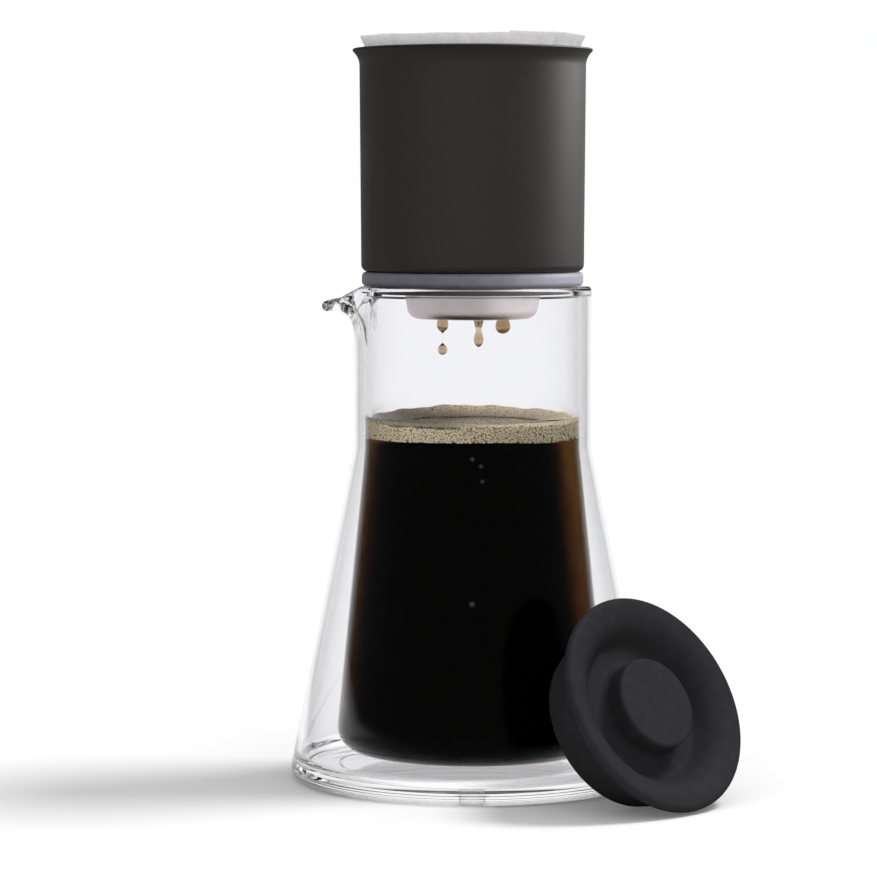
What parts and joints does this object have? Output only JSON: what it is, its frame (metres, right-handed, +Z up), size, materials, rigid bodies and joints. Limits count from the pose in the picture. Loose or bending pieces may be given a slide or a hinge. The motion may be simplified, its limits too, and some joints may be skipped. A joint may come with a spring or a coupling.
{
  "type": "pour-over coffee maker",
  "caption": "Double-wall steel dripper with a paper filter and gasket, standing on a double-wall glass carafe with a pulled spout, and the carafe's silicone lid.",
  "frame": {"origin": "centre of the carafe's foot, on the table", "axes": "+Z up along the axis of the carafe and the dripper, the spout points to -X, the lid leans toward +X and -Y"},
  "size_m": [0.15, 0.1514, 0.2524],
  "materials": {
    "glass": "clear borosilicate, fire polished",
    "vent_silicone": "translucent grey",
    "coated_steel": "matte dark coating with a fine grain",
    "bare_steel": "satin, bead blasted",
    "getter_metal": "sintered",
    "solder": "reflowed",
    "grey_silicone": "moulded matte",
    "paper": "unprinted bleached filter paper",
    "dark_silicone": "moulded matte"
  },
  "bodies": {
    "carafe": {"carafe_outer_wall": "glass", "carafe_inner_wall": "glass", "carafe_vent_seal": "vent_silicone"},
    "dripper": {"dripper_outer_shell": "coated_steel", "dripper_inner_shell": "bare_steel", "dripper_bottom_plate": "bare_steel", "vacuum_getter": "getter_metal", "vacuum_seal_bead": "solder", "gasket_ring": "grey_silicone"},
    "filter": {"paper_filter": "paper"},
    "lid": {"lid": "dark_silicone"}
  },
  "joints": [
    {"name": "dripper_lift", "type": "slide", "parent": "carafe", "child": "dripper", "axis": [0, 0, 1], "range_m": [0, 0.12]},
    {"name": "filter_lift", "type": "slide", "parent": "dripper", "child": "filter", "axis": [0, 0, 1], "range_m": [0, 0.11]},
    {"name": "lid_lift", "type": "slide", "parent": "carafe", "child": "lid", "axis": [0, 0, 1], "range_m": [0, 0.1]}
  ]
}
